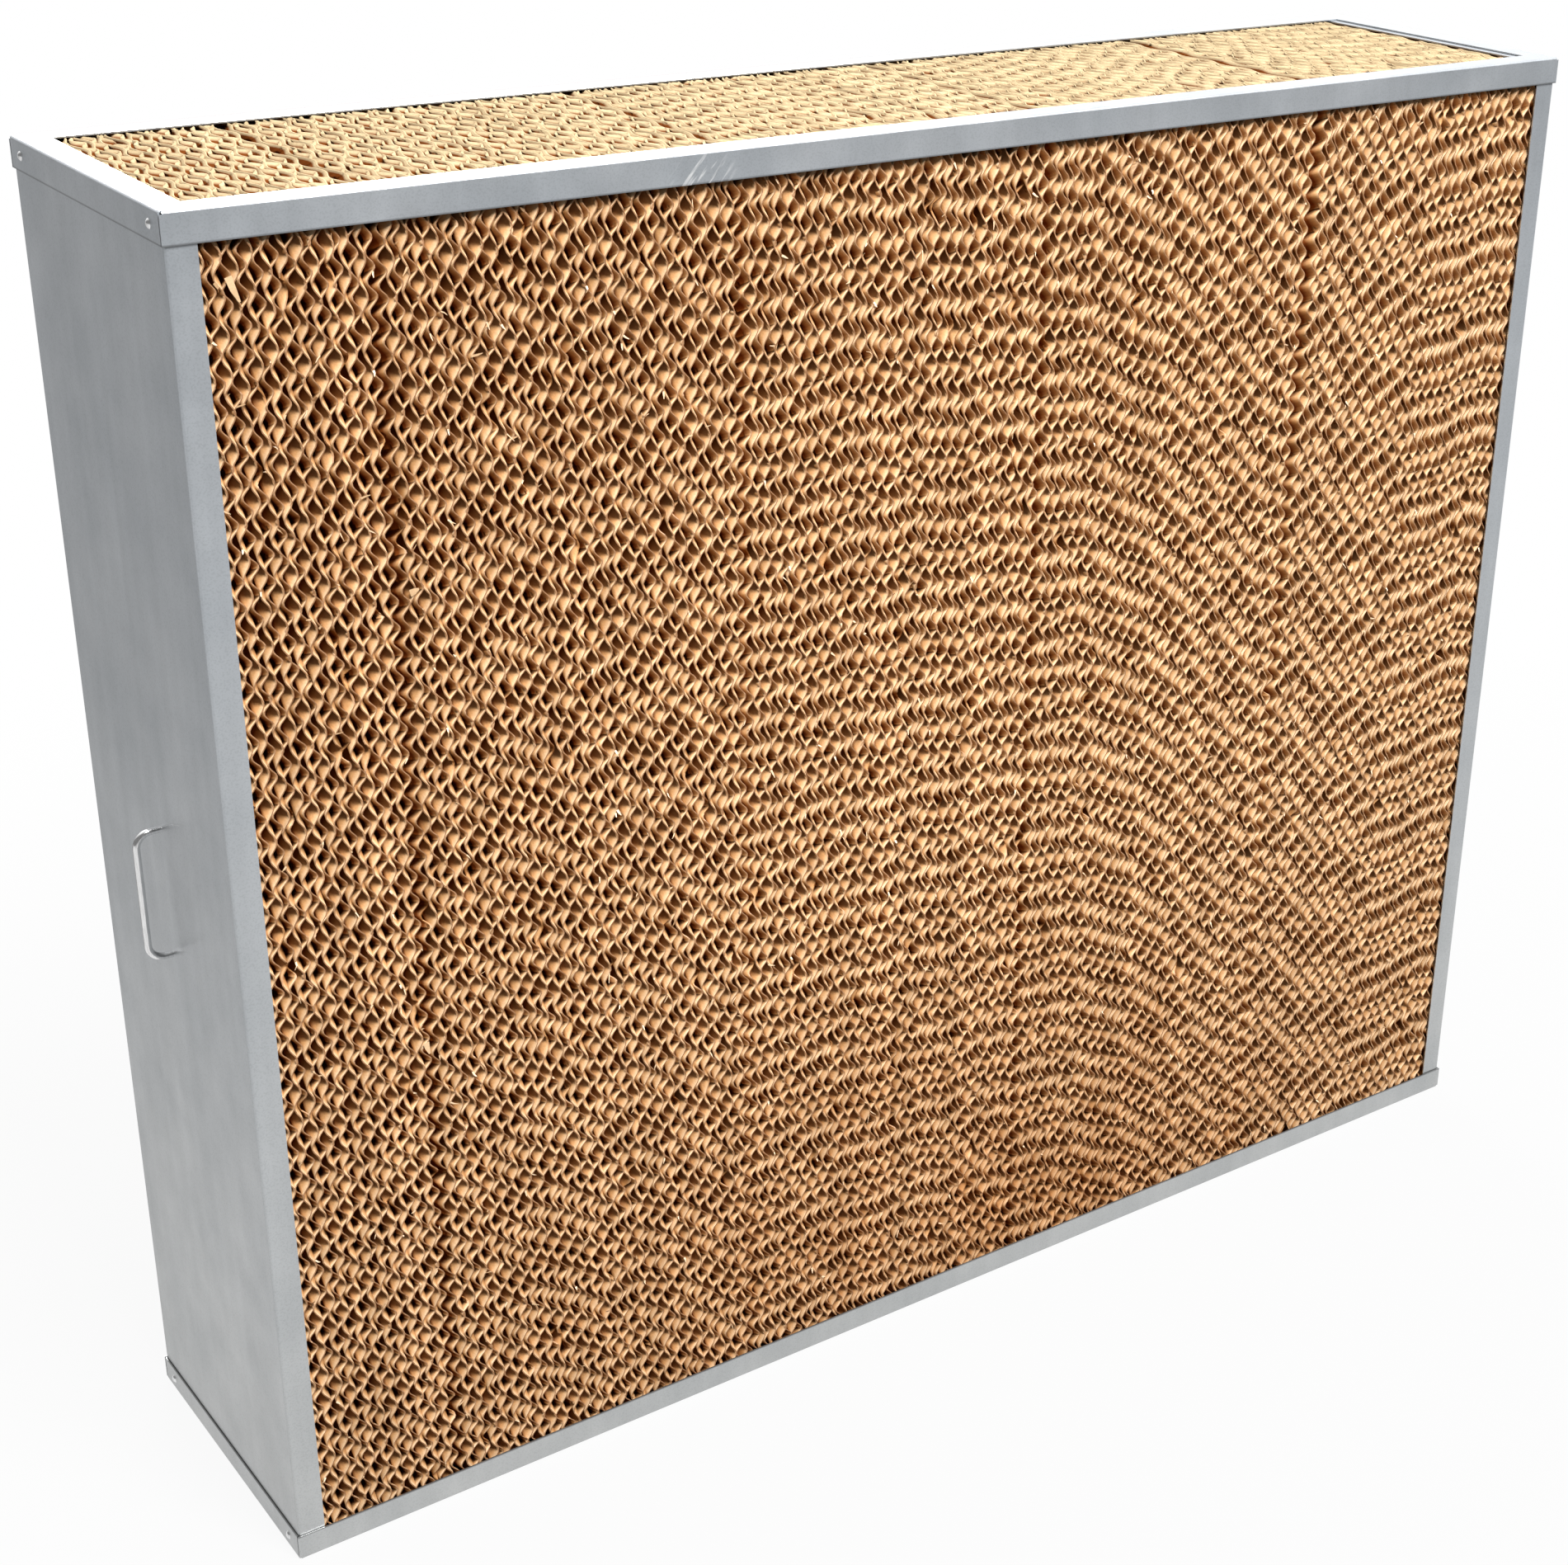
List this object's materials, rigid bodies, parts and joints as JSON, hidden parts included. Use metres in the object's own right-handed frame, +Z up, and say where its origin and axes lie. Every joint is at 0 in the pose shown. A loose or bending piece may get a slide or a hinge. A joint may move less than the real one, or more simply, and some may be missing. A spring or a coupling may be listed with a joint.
{
  "type": "evaporative cooling pad",
  "caption": "Upright evaporative cooling pad: cross-fluted kraft-coloured cellulose blocks side by side in an open folded sheet-metal frame with a small bow handle on one end.",
  "frame": {"origin": "on the floor, at the middle of the whole part's footprint with the handle and rivet heads", "axes": "+Z up, +X to the right along the front face, +Y from the front face to the back"},
  "size_m": [1.4024, 0.305, 1.15],
  "materials": {
    "frame_sheet": "galvanised sheet, dull grey with faint cloudy spangle",
    "handle_rod": "bright round rod",
    "rivet": "bright domed blind rivet",
    "pad": "stiff resin-treated kraft paper, pale cut edges"
  },
  "bodies": {
    "root": {"top_frame": "frame_sheet", "bottom_frame": "frame_sheet", "end_panel_left": "frame_sheet", "end_panel_right": "frame_sheet", "handle": "handle_rod", "rivets_left": "rivet", "rivets_right": "rivet", "pad_block_1": "pad", "pad_block_2": "pad", "pad_block_3": "pad", "pad_block_4": "pad", "pad_block_5": "pad"}
  },
  "joints": []
}
